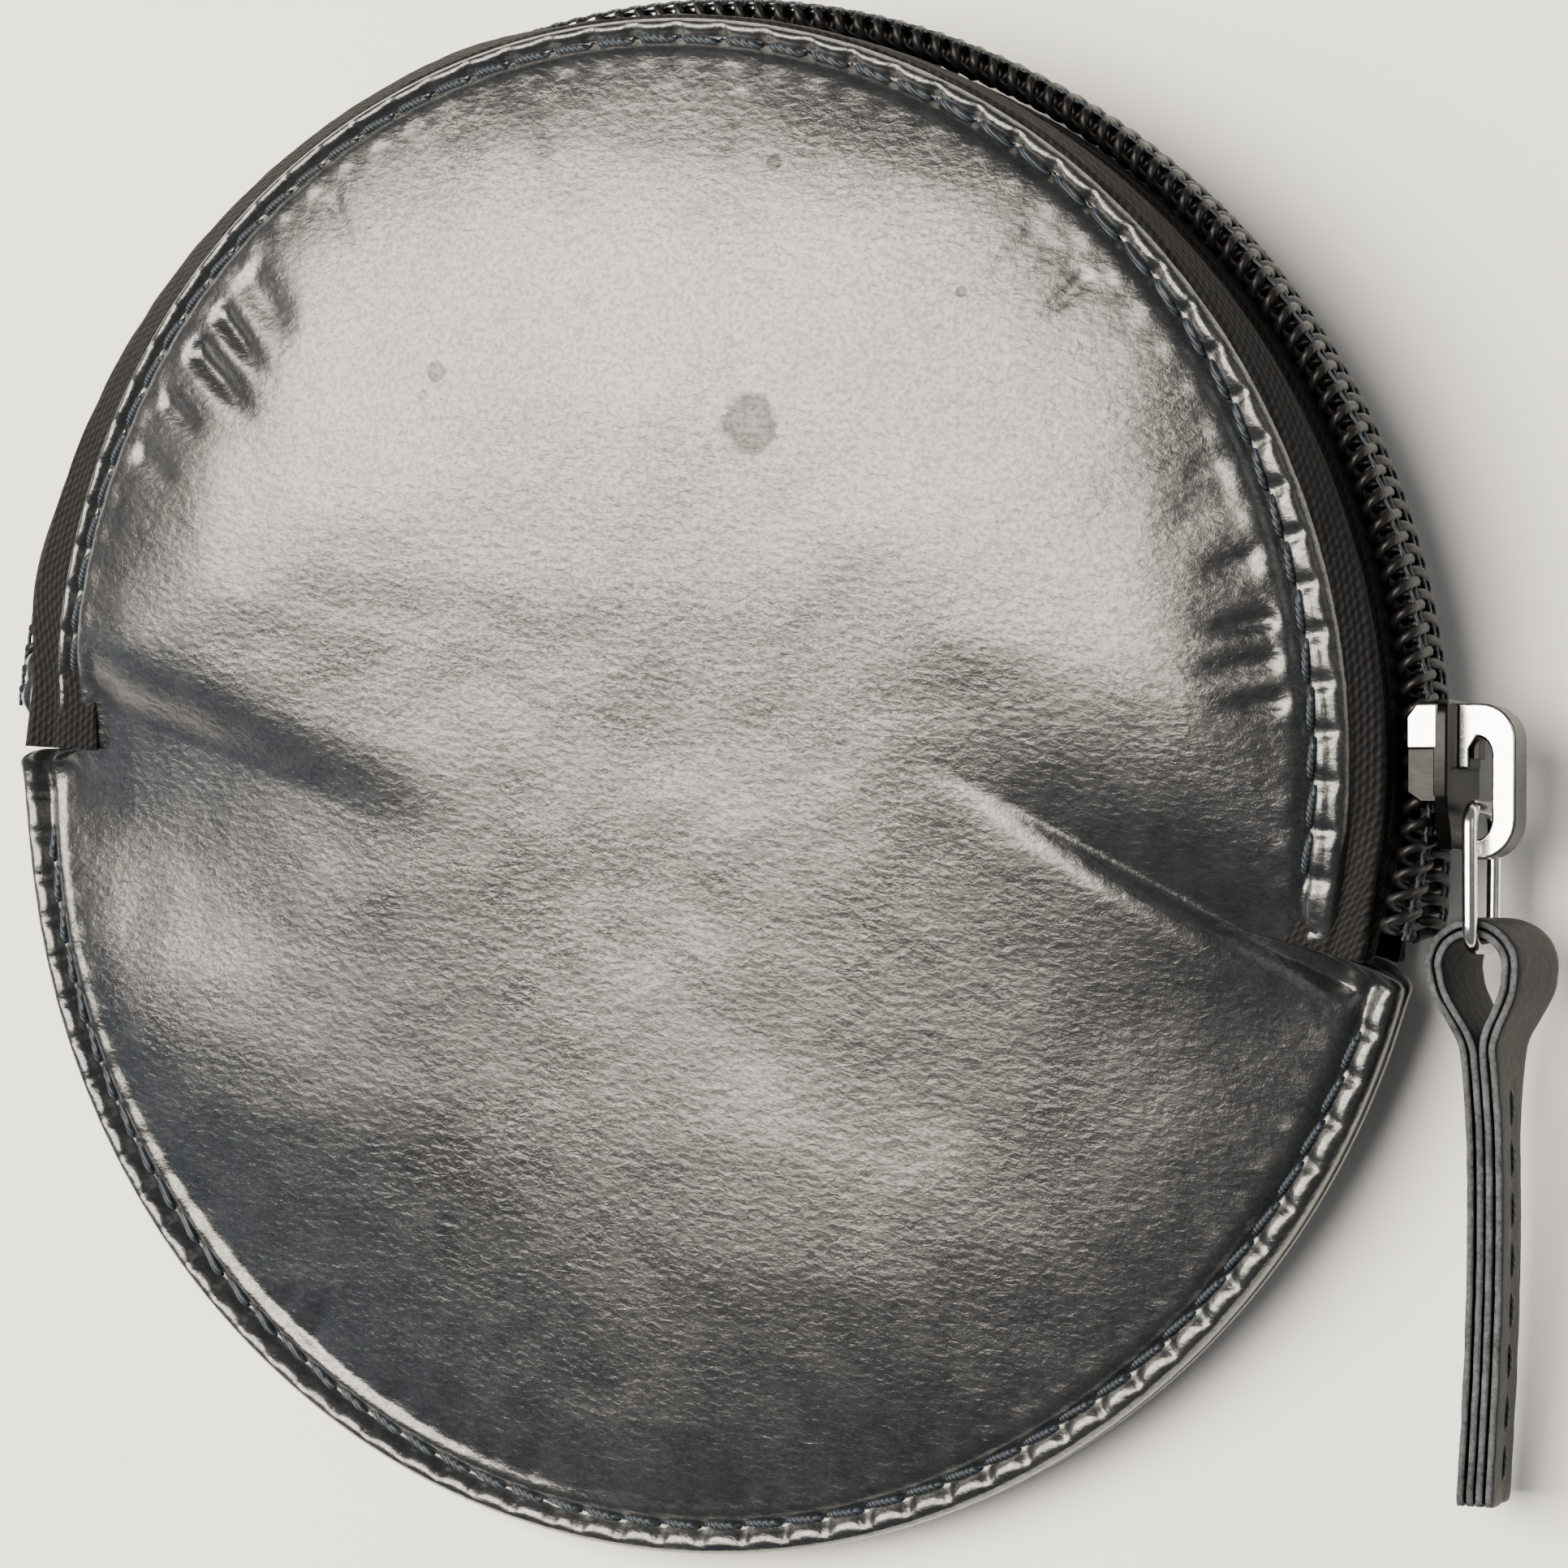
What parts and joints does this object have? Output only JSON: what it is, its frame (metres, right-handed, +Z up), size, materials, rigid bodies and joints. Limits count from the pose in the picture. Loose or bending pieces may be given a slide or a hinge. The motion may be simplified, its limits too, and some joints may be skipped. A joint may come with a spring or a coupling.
{
  "type": "coin purse",
  "caption": "Flat round leather coin purse with a coil zip round the upper half of its rim, a metal slider and a folded leather pull strap",
  "frame": {"origin": "on the table plane under the middle of the round panels, where the flat back panel rests", "axes": "+Z up, out of the front panel; +Y towards the zip mouth; +X towards the slider's closed end"},
  "size_m": [0.1114, 0.1002, 0.0226],
  "materials": {
    "shell_leather": "semi-gloss black calf, fine grain",
    "lining_suede": "matte black suede",
    "strap_leather": "matte black leather, cut edges",
    "zip_tape": "matte black woven polyester",
    "coil_nylon": "satin black nylon",
    "thread": "waxed navy-black thread",
    "bright_metal": "bright nickel plate",
    "stop_metal": "gloss black enamel",
    "spring_steel": "plain spring steel"
  },
  "bodies": {
    "purse_body": {"back_panel": "shell_leather", "back_lining": "lining_suede", "front_panel_lower": "shell_leather", "front_lining_lower": "lining_suede", "coil_front_ends": "coil_nylon", "coil_back": "coil_nylon", "zip_tape_front_ends": "zip_tape", "zip_tape_back": "zip_tape", "zip_bottom_stop": "stop_metal", "seam_thread_lower": "thread", "seam_thread_mouth_ends": "thread", "seam_thread_mouth_back": "thread"},
    "front_flap": {"front_panel_upper": "shell_leather", "front_lining_upper": "lining_suede", "coil_front": "coil_nylon", "zip_tape_front": "zip_tape", "seam_thread_mouth_front": "thread"},
    "slider": {"slider_body": "bright_metal", "slider_crown": "bright_metal", "slider_lock_spring": "spring_steel"},
    "pull_link": {"pull_link": "bright_metal"},
    "pull_strap": {"strap_outer_leather": "strap_leather", "strap_inner_leather": "strap_leather", "strap_thread": "thread"}
  },
  "joints": [
    {"name": "mouth_fold", "type": "hinge", "parent": "purse_body", "child": "front_flap", "pos_m": [0, 0.01696, 0.0198], "axis": [1, 0, 0], "range_deg": [0, 35]},
    {"name": "slider_track", "type": "hinge", "parent": "purse_body", "child": "slider", "pos_m": [0, 0, 0.00727], "axis": [0, -0.0886, 0.9961], "range_deg": [0, 160]},
    {"name": "link_pivot", "type": "hinge", "parent": "slider", "child": "pull_link", "pos_m": [0.05259, 0.00554, 0.00777], "axis": [0, -0.0886, 0.9961], "range_deg": [0, 120]},
    {"name": "strap_pivot", "type": "hinge", "parent": "pull_link", "child": "pull_strap", "pos_m": [0.05376, -0.00264, 0.00704], "axis": [0, -0.0886, 0.9961], "range_deg": [-20, 75]}
  ]
}
